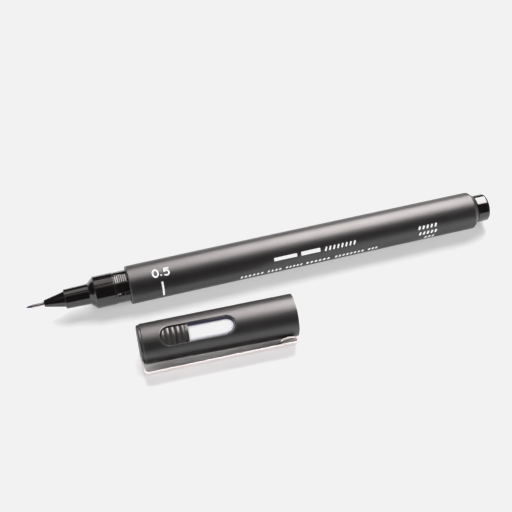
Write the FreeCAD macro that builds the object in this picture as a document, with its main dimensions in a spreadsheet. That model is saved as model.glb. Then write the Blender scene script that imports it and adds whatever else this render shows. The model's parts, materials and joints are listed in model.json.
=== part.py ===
import FreeCAD, Part
import math
import os
import Sketcher
from FreeCAD import Placement, Rotation, Vector

# A technical pen lying on a flat surface, with its cap beside it.
# Row frame: +X from the nib towards the tail, +Y away from the cap, +Z up.
# The origin is the bottom centre of the whole bounding box.
# Every pen piece is drawn with x from the nib's tip, and every cap piece with x from the closed end.

SIZES = {
    # Pen stations, measured from the nib's tip
    "nib_out": 1.6,
    "cone_front": 4.75,
    "neck_front": 10.3,
    "neck_rear": 16.9,
    "collar_front": 18.35,
    "collar_rear": 23.9,
    "barrel_front": 27.7,
    "barrel_rear": 129.6,
    "pen_length": 133.6,
    # Nib and its steel sleeve
    "nib_radius": 0.36,
    "nib_tip_radius": 0.17,
    "nib_round": 0.3,
    "nib_rear": 11.6,
    "sleeve_radius": 0.5,
    "sleeve_bore": 0.38,
    "sleeve_rear": 11.9,
    "sleeve_chamfer": 0.06,
    # Nose cone
    "cone_tip_radius": 0.95,
    "cone_base_radius": 2.15,
    "cone_chamfer": 0.12,
    "cone_rear": 15.0,
    "cone_stem_radius": 1.9,
    "cone_bore": 0.53,
    "vent_width": 0.6,
    "vent_length": 1.15,
    "vent_floor": 1.7,
    # Front section
    "neck_front_radius": 2.68,
    "neck_rear_radius": 2.85,
    "neck_round": 0.15,
    "flare_foot": 3.15,
    "collar_radius": 4.45,
    "collar_shoulder": 4.15,
    "collar_round": 0.25,
    "seam_width": 0.3,
    "seam_radius": 4.2,
    "shank_radius": 4.36,
    "insert_radius": 4.53,
    "insert_rear": 36.0,
    "section_bore": 1.95,
    "section_cavity": 3.5,
    "cavity_front": 20.5,
    "lug_start": 0.35,
    "lug_length": 1.7,
    "lug_height": 0.24,
    "lug_width": 1.5,
    # Barrel
    "barrel_radius": 5.3,
    "barrel_bore": 4.55,
    "barrel_front_round": 0.3,
    "tail_chamfer_length": 1.25,
    "tail_chamfer_drop": 1.05,
    "tail_wall": 2.2,
    "tail_hole": 3.42,
    # Tail plug
    "plug_radius": 3.95,
    "plug_round": 0.75,
    "plug_neck_radius": 3.65,
    "plug_neck": 0.3,
    "plug_stem_radius": 3.4,
    "plug_stem_bore": 2.5,
    "plug_front": 121.6,
    "plug_wall": 1.4,
    # Ink reservoir, its film and the feed wick
    "reservoir_front": 37.0,
    "reservoir_rear": 121.3,
    "reservoir_radius": 4.0,
    "reservoir_socket": 7.5,
    "film_inner": 4.02,
    "film_outer": 4.2,
    "wick_radius": 0.9,
    "wick_front": 15.2,
    "wick_core": 0.45,
    # Cap stations, measured from the face of the closed end
    "cap_length": 41.8,
    "shell_front": 0.75,
    "shell_front_radius": 5.37,
    "shell_mouth_radius": 5.72,
    "shell_round": 0.22,
    "shell_bore": 4.8,
    "mouth_bore": 5.37,
    "mouth_depth": 6.3,
    "mouth_round": 0.12,
    "slot_front": 5.5,
    "slot_rear": 25.1,
    "slot_half_width": 2.42,
    "filler_half_width": 2.35,
    # Crown
    "crown_radius": 5.12,
    "crown_chamfer": 0.15,
    "crown_boss": 4.75,
    "crown_wall": 3.2,
    "crown_bore": 3.0,
    "crown_rear": 12.9,
    "rib_top": 5.2,
    "rib_floor": 4.88,
    "rib_first_gap": 6.8,
    "rib_pitch": 1.36,
    "rib_gap": 0.5,
    "rib_flat": 0.95,
    "slot_gap": 0.07,
    # Inner cap
    "liner_front": 7.5,
    "liner_nose_radius": 2.9,
    "liner_shoulder": 13.2,
    "liner_radius": 4.74,
    "liner_rear": 35.0,
    "liner_wall": 0.8,
    "liner_nose_bore": 2.3,
    "liner_neck_bore": 3.3,
    "liner_neck_rear": 26.2,
    "liner_seal_front": 27.6,
    "liner_seal_bore": 4.52,
    # Window lens
    "lens_front": 12.97,
    "lens_inner": 4.84,
    "lens_outer": 5.32,
    # Clip: the strip's centre line, with radii measured from the cap's axis
    "clip_width": 4.2,
    "clip_thickness": 0.45,
    "clip_tab_end": 2.4,
    "clip_tab_radius": 3.2,
    "clip_tab_bend": 0.4,
    "clip_face": 0.04,
    "clip_bend": 1.1,
    "clip_root_radius": 7.98,
    "clip_nose_end": 40.3,
    "clip_nose_radius": 6.98,
    "clip_nose_bend": 0.6,
    "clip_arch_top": 38.75,
    "clip_arch_bend": 4.27,
    "clip_arch_end": 36.4,
    "clip_slot_gap": 0.12,
    # Where the pen and the cap lie
    "pen_aside": 12.7,
    "cap_ahead": 26.1,
    "cap_aside": 21.1,
    "cap_height": 5.72,
}
CAP_YAW = -2.5     # degrees, the mouth turned towards the viewer's side
CAP_ROLL = 28.0    # degrees, the clip turned down until its edge rests on the surface

# Turn of each pen piece about the pen's axis, in degrees
LUG_TURN = 15.0
VENT_TURN = 69.0

doc = FreeCAD.newDocument("technical_pen")
sheet = doc.addObject("Spreadsheet::Sheet", "Sizes")
for row, (alias, value) in enumerate(SIZES.items(), start=1):
    sheet.set("A%d" % row, alias)
    sheet.set("B%d" % row, str(value))
    sheet.setAlias("B%d" % row, alias)
doc.recompute()


def number(words):
    """Value of a sum of named sizes, such as "barrel_front + lug_start"."""
    total = 0.0
    sign = 1.0
    for word in words.split():
        if word in ("+", "-"):
            sign = 1.0 if word == "+" else -1.0
        elif word != "0":
            total += sign * SIZES[word]
    return total


def formula(words):
    """The same sum as an expression on the sheet's cells."""
    return " ".join(word if word in ("+", "-", "0") else "Sizes." + word for word in words.split())


def plane(body, role):
    """One of the body's own origin planes."""
    return next(feature for feature in body.Origin.OriginFeatures if feature.Role == role)


def new_body(node):
    body = doc.addObject("PartDesign::Body", node)
    body.Label = node
    return body


def new_sketch(body, name, role="XY_Plane"):
    sketch = body.newObject("Sketcher::SketchObject", name)
    sketch.AttachmentSupport = (plane(body, role), [""])
    sketch.MapMode = "FlatFace"
    return sketch


def bind(sketch, kind, geometry, words):
    """Add a dimension to the sketch and tie it to the sheet, measured the way that makes it positive."""
    amount = number(words)
    expression = formula(words)
    if amount < 0:
        amount = -amount
        expression = "-(%s)" % expression
        geometry = geometry[2:] + geometry[:2]
    index = sketch.addConstraint(Sketcher.Constraint(kind, *geometry, amount))
    sketch.setExpression("Constraints[%d]" % index, expression)


def place_point(sketch, edge, end, across, up):
    """Tie one end of an edge to sums of sizes along the sketch's own X and Y."""
    for words, kind, axis in ((across, "DistanceX", -2), (up, "DistanceY", -1)):
        if words == "0":
            sketch.addConstraint(Sketcher.Constraint("PointOnObject", edge, end, axis))
        else:
            bind(sketch, kind, (-1, 1, edge, end), words)


def closed_outline(sketch, corners):
    """Straight-sided closed outline through the corners, each a pair of sums of sizes."""
    points = [Vector(number(across), number(up), 0) for across, up in corners]
    count = len(points)
    for index in range(count):
        sketch.addGeometry(Part.LineSegment(points[index], points[(index + 1) % count]), False)
    for index in range(count):
        sketch.addConstraint(Sketcher.Constraint("Coincident", index, 2, (index + 1) % count, 1))
    for index, (across, up) in enumerate(corners):
        place_point(sketch, index, 1, across, up)


def revolved(body, name, corners):
    """Solid of revolution about X of an outline given as station and radius."""
    sketch = new_sketch(body, name + "_outline")
    closed_outline(sketch, corners)
    turn = body.newObject("PartDesign::Revolution", name)
    turn.Profile = sketch
    turn.ReferenceAxis = (sketch, ["H_Axis"])
    turn.Angle = 360
    doc.recompute()
    return turn


def grooved(body, name, corners):
    """Cut a revolved outline out of the body, and make sure that it removed something."""
    before = body.Shape.Volume
    sketch = new_sketch(body, name + "_outline")
    closed_outline(sketch, corners)
    groove = body.newObject("PartDesign::Groove", name)
    groove.Profile = sketch
    groove.ReferenceAxis = (sketch, ["H_Axis"])
    groove.Angle = 360
    doc.recompute()
    if body.Shape.Volume >= before:
        raise RuntimeError(name + " cut nothing")
    return groove


def arc_of(centre, radius, start, finish):
    circle = Part.Circle(centre, Vector(0, 0, 1), radius)
    return Part.ArcOfCircle(circle, math.radians(start), math.radians(finish))


def slot_outline(sketch, front, rear, half, round_front, round_rear):
    """Long outline about X, with a half-round or a square end at each side."""
    low = number(front)
    high = number(rear)
    reach = number(half)
    left = low + reach if round_front else low
    right = high - reach if round_rear else high
    top = sketch.addGeometry(Part.LineSegment(Vector(left, reach, 0), Vector(right, reach, 0)), False)
    bottom = sketch.addGeometry(Part.LineSegment(Vector(left, -reach, 0), Vector(right, -reach, 0)), False)
    sketch.addConstraint(Sketcher.Constraint("Horizontal", top))
    sketch.addConstraint(Sketcher.Constraint("Horizontal", bottom))
    ends = (
        (round_front, front, " + ", 1, left, 90, 270),
        (round_rear, rear, " - ", 2, right, -90, 90),
    )
    for is_round, station, inwards, corner, middle, start, finish in ends:
        if is_round:
            edge = sketch.addGeometry(arc_of(Vector(middle, 0, 0), reach, start, finish), False)
            sketch.addConstraint(Sketcher.Constraint("Tangent", edge, corner, top, corner))
            sketch.addConstraint(Sketcher.Constraint("Tangent", edge, 3 - corner, bottom, corner))
            bind(sketch, "DistanceX", (-1, 1, edge, 3), station + inwards + half)
        else:
            line = Part.LineSegment(Vector(middle, reach, 0), Vector(middle, -reach, 0))
            edge = sketch.addGeometry(line, False)
            sketch.addConstraint(Sketcher.Constraint("Coincident", edge, 1, top, corner))
            sketch.addConstraint(Sketcher.Constraint("Coincident", edge, 2, bottom, corner))
            sketch.addConstraint(Sketcher.Constraint("Vertical", edge))
            bind(sketch, "DistanceX", (-1, 1, edge, 1), station)
    bind(sketch, "DistanceY", (-1, 1, top, 1), half)
    bind(sketch, "DistanceY", (bottom, 1, -1, 1), half)


def extruded(body, kind, name, sketch, words, midplane):
    """Pad or pocket a sketch, and make sure that it changed the body the right way."""
    before = body.Shape.Volume if body.Shape.Solids else 0.0
    feature = body.newObject("PartDesign::" + kind, name)
    feature.Profile = sketch
    feature.setExpression("Length", formula(words))
    feature.Midplane = midplane
    doc.recompute()
    grew = body.Shape.Volume > before
    if grew != (kind == "Pad") or abs(body.Shape.Volume - before) < 1e-6:
        raise RuntimeError(name + " went the wrong way")
    return feature


def around(body, name, feature, count):
    """Repeat a feature evenly about the body's X axis."""
    pattern = body.newObject("PartDesign::PolarPattern", name)
    pattern.Originals = [feature]
    pattern.Axis = (plane(body, "X_Axis"), [""])
    pattern.Angle = 360
    pattern.Occurrences = count
    body.Tip = pattern
    doc.recompute()
    return pattern


# Pen ---------------------------------------------------------------------------------------------

def make_nib():
    body = new_body("nib")
    revolved(body, "nib_rod", [
        ("0", "0"),
        ("0", "nib_tip_radius"),
        ("nib_round", "nib_radius"),
        ("nib_rear", "nib_radius"),
        ("nib_rear", "0"),
    ])
    return body


def make_nib_sleeve():
    body = new_body("nib_sleeve")
    revolved(body, "sleeve_tube", [
        ("nib_out", "sleeve_bore"),
        ("nib_out", "sleeve_radius - sleeve_chamfer"),
        ("nib_out + sleeve_chamfer", "sleeve_radius"),
        ("sleeve_rear", "sleeve_radius"),
        ("sleeve_rear", "sleeve_bore"),
    ])
    return body


def make_nose_cone():
    body = new_body("nose_cone")
    revolved(body, "cone", [
        ("cone_front", "cone_bore"),
        ("cone_front", "cone_tip_radius - cone_chamfer"),
        ("cone_front + cone_chamfer", "cone_tip_radius"),
        ("neck_front", "cone_base_radius"),
        ("neck_front", "cone_stem_radius"),
        ("cone_rear", "cone_stem_radius"),
        ("cone_rear", "cone_bore"),
    ])
    sketch = new_sketch(body, "vent_outline")
    closed_outline(sketch, [
        ("neck_front - vent_length", "vent_floor"),
        ("neck_front - vent_length", "cone_base_radius + vent_width"),
        ("neck_front", "cone_base_radius + vent_width"),
        ("neck_front", "vent_floor"),
    ])
    vent = extruded(body, "Pocket", "vent", sketch, "vent_width", True)
    around(body, "vents", vent, 2)
    return body


def make_front_section():
    body = new_body("front_section")
    revolved(body, "section", [
        ("neck_front", "section_bore"),
        ("neck_front", "neck_front_radius - neck_round"),
        ("neck_front + neck_round", "neck_front_radius"),
        ("neck_rear", "neck_rear_radius"),
        ("neck_rear + seam_width", "flare_foot"),
        ("collar_front", "collar_shoulder"),
        ("collar_front + collar_round", "collar_radius"),
        ("collar_rear", "collar_radius"),
        ("collar_rear", "seam_radius"),
        ("collar_rear + seam_width", "seam_radius"),
        ("collar_rear + seam_width", "shank_radius"),
        ("barrel_front + seam_width", "shank_radius"),
        ("barrel_front + seam_width", "insert_radius"),
        ("insert_rear", "insert_radius"),
        ("insert_rear", "section_cavity"),
        ("cavity_front", "section_cavity"),
        ("cavity_front", "section_bore"),
    ])
    sketch = new_sketch(body, "lug_outline")
    closed_outline(sketch, [
        ("collar_rear + lug_start", "seam_radius"),
        ("collar_rear + lug_start", "shank_radius + lug_height"),
        ("collar_rear + lug_start + lug_length", "seam_radius"),
    ])
    lug = extruded(body, "Pad", "lug", sketch, "lug_width", True)
    around(body, "lugs", lug, 4)
    return body


def make_barrel():
    body = new_body("barrel")
    revolved(body, "tube", [
        ("barrel_front", "barrel_bore"),
        ("barrel_front", "barrel_radius - barrel_front_round"),
        ("barrel_front + barrel_front_round", "barrel_radius"),
        ("barrel_rear - tail_chamfer_length", "barrel_radius"),
        ("barrel_rear", "barrel_radius - tail_chamfer_drop"),
        ("barrel_rear", "tail_hole"),
        ("barrel_rear - tail_wall", "tail_hole"),
        ("barrel_rear - tail_wall", "barrel_bore"),
    ])
    return body


def make_tail_plug():
    body = new_body("tail_plug")
    revolved(body, "plug", [
        ("plug_front", "plug_stem_bore"),
        ("plug_front", "plug_stem_radius"),
        ("barrel_rear", "plug_stem_radius"),
        ("barrel_rear", "plug_neck_radius"),
        ("barrel_rear + plug_neck", "plug_neck_radius"),
        ("barrel_rear + plug_neck", "plug_radius"),
        ("pen_length", "plug_radius"),
        ("pen_length", "0"),
        ("pen_length - plug_wall", "0"),
        ("pen_length - plug_wall", "plug_stem_bore"),
    ])
    plain = body.Tip
    rim = [
        "Edge%d" % index
        for index, edge in enumerate(plain.Shape.Edges, start=1)
        if edge.BoundBox.XMin > number("pen_length") - 1e-3
    ]
    fillet = body.newObject("PartDesign::Fillet", "plug_rim")
    fillet.Base = (plain, rim)
    fillet.setExpression("Radius", formula("plug_round"))
    doc.recompute()
    return body


def make_ink_reservoir():
    body = new_body("ink_reservoir")
    revolved(body, "fibre_store", [
        ("reservoir_front", "wick_radius"),
        ("reservoir_front", "reservoir_radius"),
        ("reservoir_rear", "reservoir_radius"),
        ("reservoir_rear", "0"),
        ("reservoir_front + reservoir_socket", "0"),
        ("reservoir_front + reservoir_socket", "wick_radius"),
    ])
    return body


def make_reservoir_film():
    body = new_body("reservoir_film")
    revolved(body, "film_tube", [
        ("reservoir_front", "film_inner"),
        ("reservoir_front", "film_outer"),
        ("reservoir_rear", "film_outer"),
        ("reservoir_rear", "film_inner"),
    ])
    return body


def make_feed_wick():
    body = new_body("feed_wick")
    revolved(body, "wick_rod", [
        ("nib_rear", "0"),
        ("nib_rear", "sleeve_bore"),
        ("sleeve_rear", "sleeve_bore"),
        ("sleeve_rear", "wick_core"),
        ("wick_front", "wick_core"),
        ("wick_front", "wick_radius"),
        ("reservoir_front + reservoir_socket", "wick_radius"),
        ("reservoir_front + reservoir_socket", "0"),
    ])
    return body


# Cap ---------------------------------------------------------------------------------------------

def make_cap_shell():
    body = new_body("cap_shell")
    revolved(body, "shell", [
        ("shell_front", "shell_bore"),
        ("shell_front", "shell_front_radius - shell_round"),
        ("shell_front + shell_round", "shell_front_radius"),
        ("cap_length - mouth_round", "shell_mouth_radius"),
        ("cap_length", "shell_mouth_radius - mouth_round"),
        ("cap_length", "mouth_bore"),
        ("cap_length - mouth_depth", "mouth_bore"),
        ("cap_length - mouth_depth", "shell_bore"),
    ])
    sketch = new_sketch(body, "window_outline")
    slot_outline(sketch, "slot_front", "slot_rear", "slot_half_width", True, True)
    pocket = body.newObject("PartDesign::Pocket", "window")
    pocket.Profile = sketch
    pocket.Reversed = True
    pocket.setExpression("Length", formula("shell_mouth_radius"))
    before = body.Shape.Volume
    doc.recompute()
    if body.Shape.Volume >= before:
        raise RuntimeError("the window cut nothing")
    return body


def make_cap_crown():
    body = new_body("cap_crown")
    revolved(body, "crown", [
        ("0", "0"),
        ("0", "crown_radius - crown_chamfer"),
        ("crown_chamfer", "crown_radius"),
        ("shell_front", "crown_radius"),
        ("shell_front", "crown_boss"),
        ("crown_rear", "crown_boss"),
        ("crown_rear", "crown_bore"),
        ("crown_wall", "crown_bore"),
        ("crown_wall", "0"),
    ])
    ribs = new_sketch(body, "rib_block_outline")
    slot_outline(ribs, "slot_front + slot_gap", "crown_rear", "filler_half_width", True, False)
    block = body.newObject("PartDesign::Pad", "rib_block")
    block.Profile = ribs
    block.setExpression("Length", formula("shell_front_radius"))
    doc.recompute()
    bore = [
        ("crown_wall", "0"),
        ("crown_wall", "crown_bore"),
        ("crown_rear", "crown_bore"),
        ("crown_rear", "0"),
    ]
    grooved(body, "bore_again", bore)
    trim = [
        ("shell_front", "rib_top"),
        ("shell_front", "shell_mouth_radius + rib_gap"),
        ("crown_rear", "shell_mouth_radius + rib_gap"),
        ("crown_rear", "rib_top"),
    ]
    grooved(body, "rib_tops", trim)
    flat = [
        ("crown_rear - rib_flat", "rib_floor"),
        ("crown_rear - rib_flat", "shell_mouth_radius"),
        ("crown_rear", "shell_mouth_radius"),
        ("crown_rear", "rib_floor"),
    ]
    grooved(body, "rib_flat_band", flat)
    gap = grooved(body, "rib_gap_cut", [
        ("rib_first_gap", "rib_floor"),
        ("rib_first_gap - rib_gap", "shell_mouth_radius"),
        ("rib_first_gap + rib_gap", "shell_mouth_radius"),
    ])
    row = body.newObject("PartDesign::LinearPattern", "rib_gaps")
    row.Originals = [gap]
    row.Direction = (plane(body, "X_Axis"), [""])
    row.Occurrences = 4
    row.setExpression("Length", formula("rib_pitch") + " * 3")
    body.Tip = row
    doc.recompute()
    seat = new_sketch(body, "clip_seat_outline")
    closed_outline(seat, [
        ("- clip_thickness", "- clip_tab_radius + clip_thickness"),
        ("clip_tab_end + clip_slot_gap", "- clip_tab_radius + clip_thickness"),
        ("clip_tab_end + clip_slot_gap", "- clip_tab_radius - clip_thickness"),
        ("clip_thickness", "- clip_tab_radius - clip_thickness"),
        ("clip_thickness", "- shell_mouth_radius"),
        ("- clip_thickness", "- shell_mouth_radius"),
    ])
    extruded(body, "Pocket", "clip_seat", seat, "clip_width + clip_slot_gap + clip_slot_gap", True)
    return body


def make_inner_cap():
    body = new_body("inner_cap")
    revolved(body, "liner", [
        ("liner_front", "0"),
        ("liner_front", "liner_nose_radius"),
        ("liner_shoulder", "liner_nose_radius"),
        ("liner_shoulder", "liner_radius"),
        ("liner_rear", "liner_radius"),
        ("liner_rear", "liner_seal_bore"),
        ("liner_seal_front", "liner_seal_bore"),
        ("liner_neck_rear", "liner_neck_bore"),
        ("liner_shoulder + liner_wall", "liner_neck_bore"),
        ("liner_shoulder + liner_wall", "liner_nose_bore"),
        ("liner_front + liner_wall", "liner_nose_bore"),
        ("liner_front + liner_wall", "0"),
    ])
    return body


def make_window_lens():
    body = new_body("window_lens")
    sketch = new_sketch(body, "lens_outline")
    slot_outline(sketch, "lens_front", "slot_rear - slot_gap", "filler_half_width", False, True)
    block = body.newObject("PartDesign::Pad", "lens_block")
    block.Profile = sketch
    block.setExpression("Length", formula("shell_mouth_radius"))
    doc.recompute()
    grooved(body, "lens_back", [
        ("shell_front", "0"),
        ("shell_front", "lens_inner"),
        ("slot_rear", "lens_inner"),
        ("slot_rear", "0"),
    ])
    grooved(body, "lens_front_face", [
        ("shell_front", "lens_outer"),
        ("shell_front", "shell_mouth_radius + shell_bore"),
        ("slot_rear", "shell_mouth_radius + shell_bore"),
        ("slot_rear", "lens_outer"),
    ])
    return body


def on_circle(centre, radius, degrees):
    return centre + Vector(radius * math.cos(math.radians(degrees)), radius * math.sin(math.radians(degrees)), 0)


def clip_path(sketch):
    """Centre line of the clip: tab, bend, radial run, bend, arm, nose bend and the arch back over it."""
    tab_bend = number("clip_tab_bend")
    bend = number("clip_bend")
    face = number("clip_face")
    tab_radius = number("clip_tab_radius")
    root_radius = number("clip_root_radius")
    tab_centre = Vector(face + tab_bend, tab_radius + tab_bend, 0)
    root_centre = Vector(face + bend, root_radius - bend, 0)
    nose_centre = Vector(number("clip_nose_end"), number("clip_nose_radius"), 0)
    nose = number("clip_nose_bend")
    arch = number("clip_arch_bend")
    lean = math.asin((nose_centre.x - number("clip_arch_top")) / (arch - nose))
    arch_centre = on_circle(nose_centre, arch - nose, 90 + math.degrees(lean))
    arch_start = 270 + math.degrees(lean)
    arch_finish = 270 - math.degrees(math.asin((number("clip_arch_top") - number("clip_arch_end")) / arch))
    pieces = [
        Part.LineSegment(Vector(number("clip_tab_end"), tab_radius, 0), on_circle(tab_centre, tab_bend, 270)),
        arc_of(tab_centre, tab_bend, 180, 270),
        Part.LineSegment(on_circle(tab_centre, tab_bend, 180), on_circle(root_centre, bend, 180)),
        arc_of(root_centre, bend, 90, 180),
        Part.LineSegment(on_circle(root_centre, bend, 90), on_circle(nose_centre, nose, 90)),
        arc_of(nose_centre, nose, -90 + math.degrees(lean), 90),
        arc_of(arch_centre, arch, arch_finish, arch_start),
    ]
    tab, tab_arc, radial, root_arc, arm, nose_arc, arch_arc = [
        sketch.addGeometry(piece, False) for piece in pieces
    ]
    joints = [
        (tab, 2, tab_arc, 2),
        (tab_arc, 1, radial, 1),
        (radial, 2, root_arc, 2),
        (root_arc, 1, arm, 1),
        (arm, 2, nose_arc, 2),
        (nose_arc, 1, arch_arc, 2),
    ]
    for joint in joints:
        sketch.addConstraint(Sketcher.Constraint("Tangent", *joint))
    sketch.addConstraint(Sketcher.Constraint("Horizontal", tab))
    sketch.addConstraint(Sketcher.Constraint("Vertical", radial))
    radii = (
        (tab_arc, "clip_tab_bend"),
        (root_arc, "clip_bend"),
        (nose_arc, "clip_nose_bend"),
        (arch_arc, "clip_arch_bend"),
    )
    for edge, words in radii:
        index = sketch.addConstraint(Sketcher.Constraint("Radius", edge, number(words)))
        sketch.setExpression("Constraints[%d]" % index, formula(words))
    bind(sketch, "DistanceX", (-1, 1, tab, 1), "clip_tab_end")
    bind(sketch, "DistanceY", (-1, 1, tab, 1), "clip_tab_radius")
    bind(sketch, "DistanceX", (-1, 1, radial, 1), "clip_face")
    bind(sketch, "DistanceY", (-1, 1, root_arc, 3), "clip_root_radius - clip_bend")
    bind(sketch, "DistanceX", (-1, 1, nose_arc, 3), "clip_nose_end")
    bind(sketch, "DistanceY", (-1, 1, nose_arc, 3), "clip_nose_radius")
    bind(sketch, "DistanceX", (-1, 1, arch_arc, 3), "clip_arch_top")
    bind(sketch, "DistanceX", (-1, 1, arch_arc, 1), "clip_arch_end")


def make_clip():
    body = new_body("clip")
    spine = new_sketch(body, "clip_centre_line")
    clip_path(spine)
    section = new_sketch(body, "clip_section", "YZ_Plane")
    section.setExpression("AttachmentOffset.Base.z", formula("clip_tab_end"))
    low = number("clip_tab_radius") - number("clip_thickness") / 2
    high = number("clip_tab_radius") + number("clip_thickness") / 2
    half = number("clip_width") / 2
    corners = [Vector(low, -half, 0), Vector(high, -half, 0), Vector(high, half, 0), Vector(low, half, 0)]
    for index in range(4):
        section.addGeometry(Part.LineSegment(corners[index], corners[(index + 1) % 4]), False)
    for index in range(4):
        section.addConstraint(Sketcher.Constraint("Coincident", index, 2, (index + 1) % 4, 1))
    for index, kind in ((0, "Horizontal"), (2, "Horizontal"), (3, "Vertical")):
        section.addConstraint(Sketcher.Constraint(kind, index))
    bind(section, "DistanceX", (0, 1, 0, 2), "clip_thickness")
    bind(section, "DistanceY", (1, 1, 1, 2), "clip_width")
    section.addConstraint(Sketcher.Constraint("Symmetric", 1, 1, 1, 2, -1))
    inner = section.addConstraint(Sketcher.Constraint("DistanceX", -1, 1, 0, 1, low))
    section.setExpression("Constraints[%d]" % inner, "Sizes.clip_tab_radius - Sizes.clip_thickness / 2")
    doc.recompute()
    strip = body.newObject("PartDesign::AdditivePipe", "clip_strip")
    strip.Profile = section
    strip.Spine = (spine, [])
    strip.Mode = "Frenet"
    doc.recompute()
    return body


# Assembly ----------------------------------------------------------------------------------------

def lie(body, ahead, aside, height, yaw, roll):
    """Lay a piece drawn along X on the surface, rolled about its own axis and then yawed."""
    turn = Rotation(Vector(0, 0, 1), yaw).multiply(Rotation(Vector(1, 0, 0), roll))
    body.Placement = Placement(Vector(ahead, aside, height), turn)


nib_tip = -number("pen_length") / 2
pen_pieces = (
    (make_nib, 0.0),
    (make_nib_sleeve, 0.0),
    (make_nose_cone, VENT_TURN),
    (make_front_section, LUG_TURN),
    (make_barrel, 0.0),
    (make_tail_plug, 0.0),
    (make_ink_reservoir, 0.0),
    (make_reservoir_film, 0.0),
    (make_feed_wick, 0.0),
)
cap_pieces = (
    (make_cap_shell, CAP_ROLL),
    (make_cap_crown, CAP_ROLL),
    (make_inner_cap, CAP_ROLL),
    (make_window_lens, CAP_ROLL),
    (make_clip, CAP_ROLL + 180.0),
)

nodes = []
for make_piece, roll in pen_pieces:
    piece = make_piece()
    lie(piece, nib_tip, number("pen_aside"), number("barrel_radius"), 0.0, roll)
    nodes.append(piece)
for make_piece, roll in cap_pieces:
    piece = make_piece()
    lie(piece, nib_tip + number("cap_ahead"), number("pen_aside - cap_aside"), number("cap_height"), CAP_YAW, roll)
    nodes.append(piece)
doc.recompute()

# Checks and output -------------------------------------------------------------------------------

for item in doc.Objects:
    if "Invalid" in item.State or "Error" in item.State:
        raise RuntimeError("%s failed to build: %s" % (item.Label, item.State))
for piece in nodes:
    if piece.Shape.isNull() or not piece.Shape.isValid() or len(piece.Shape.Solids) != 1:
        raise RuntimeError(piece.Label + " is not one valid solid")

os.makedirs("parts", exist_ok=True)
for piece in nodes:
    piece.Shape.exportStep("parts/%s.step" % piece.Label)

whole = FreeCAD.BoundBox()
for piece in nodes:
    whole.add(piece.Shape.optimalBoundingBox(False, False))
print("box x %.3f %.3f  y %.3f %.3f  z %.3f %.3f" % (
    whole.XMin, whole.XMax, whole.YMin, whole.YMax, whole.ZMin, whole.ZMax))
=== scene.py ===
import json
import math

import bmesh
import bpy
import numpy as np
from mathutils import Matrix, Vector


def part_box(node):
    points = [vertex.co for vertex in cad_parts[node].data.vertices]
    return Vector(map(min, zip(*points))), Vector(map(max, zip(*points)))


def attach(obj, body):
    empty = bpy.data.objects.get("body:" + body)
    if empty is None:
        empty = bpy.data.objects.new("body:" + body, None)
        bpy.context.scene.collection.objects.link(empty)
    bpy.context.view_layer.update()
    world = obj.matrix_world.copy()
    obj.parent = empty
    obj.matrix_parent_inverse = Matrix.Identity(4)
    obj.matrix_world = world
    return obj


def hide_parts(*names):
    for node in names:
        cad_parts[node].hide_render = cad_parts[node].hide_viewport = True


# A technical pen with its cap off and lying beside it.
# Pieces are drawn in millimetres in two local frames, and then placed in the row frame in metres.
#   pen frame: X from the nib's tip towards the tail, Z up
#   cap frame: X from the closed end towards the mouth, Z through the window, -Y through the clip
# An angle round either axis is 0 at the local Z.

MM = 0.001

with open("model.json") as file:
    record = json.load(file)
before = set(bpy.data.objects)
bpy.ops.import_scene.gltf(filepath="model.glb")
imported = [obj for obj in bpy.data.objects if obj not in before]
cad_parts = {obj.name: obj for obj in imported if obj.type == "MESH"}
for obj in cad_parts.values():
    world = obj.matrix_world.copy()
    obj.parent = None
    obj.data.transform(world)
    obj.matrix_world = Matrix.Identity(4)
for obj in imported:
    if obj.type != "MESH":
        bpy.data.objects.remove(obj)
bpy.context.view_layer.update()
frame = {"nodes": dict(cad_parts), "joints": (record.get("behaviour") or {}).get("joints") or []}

# Places ------------------------------------------------------------------------------------------

nib_low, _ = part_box("nib")
barrel_low, barrel_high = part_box("barrel")
barrel_middle = (barrel_low + barrel_high) / 2
PEN = Matrix.Translation((nib_low.x, barrel_middle.y, barrel_middle.z)) @ Matrix.Scale(MM, 4)

joints = {joint["name"]: joint for joint in frame["joints"]}
cap_along = -Vector(joints["cap_slide"]["axis"]).normalized()
cap_window = -Vector(joints["clip_flex"]["axis"]).normalized()
cap_clip = cap_along.cross(cap_window)
FLEX_AHEAD = 0.3
FLEX_OUT = 3.3
flex_offset = MM * (FLEX_AHEAD * cap_along + FLEX_OUT * cap_clip)
cap_end = Vector(joints["clip_flex"]["pos_m"]) - flex_offset
CAP = Matrix((cap_along, -cap_clip, cap_window)).transposed().to_4x4()
CAP.translation = cap_end
CAP = CAP @ Matrix.Scale(MM, 4)

# Meshes ------------------------------------------------------------------------------------------

TURN = 192          # steps round a turned piece
FINE_TURN = 288     # steps round a piece with small notches or lugs
ARC_STEP = 15.0     # degrees between the points of a rounded corner
GUARD = 0.25        # mm kept flat beside a rounded corner
MOST_REACH = 0.48   # the most of a side that the rounding of one corner takes
ON_AXIS = 1e-9      # a row with a smaller radius is one point


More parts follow.
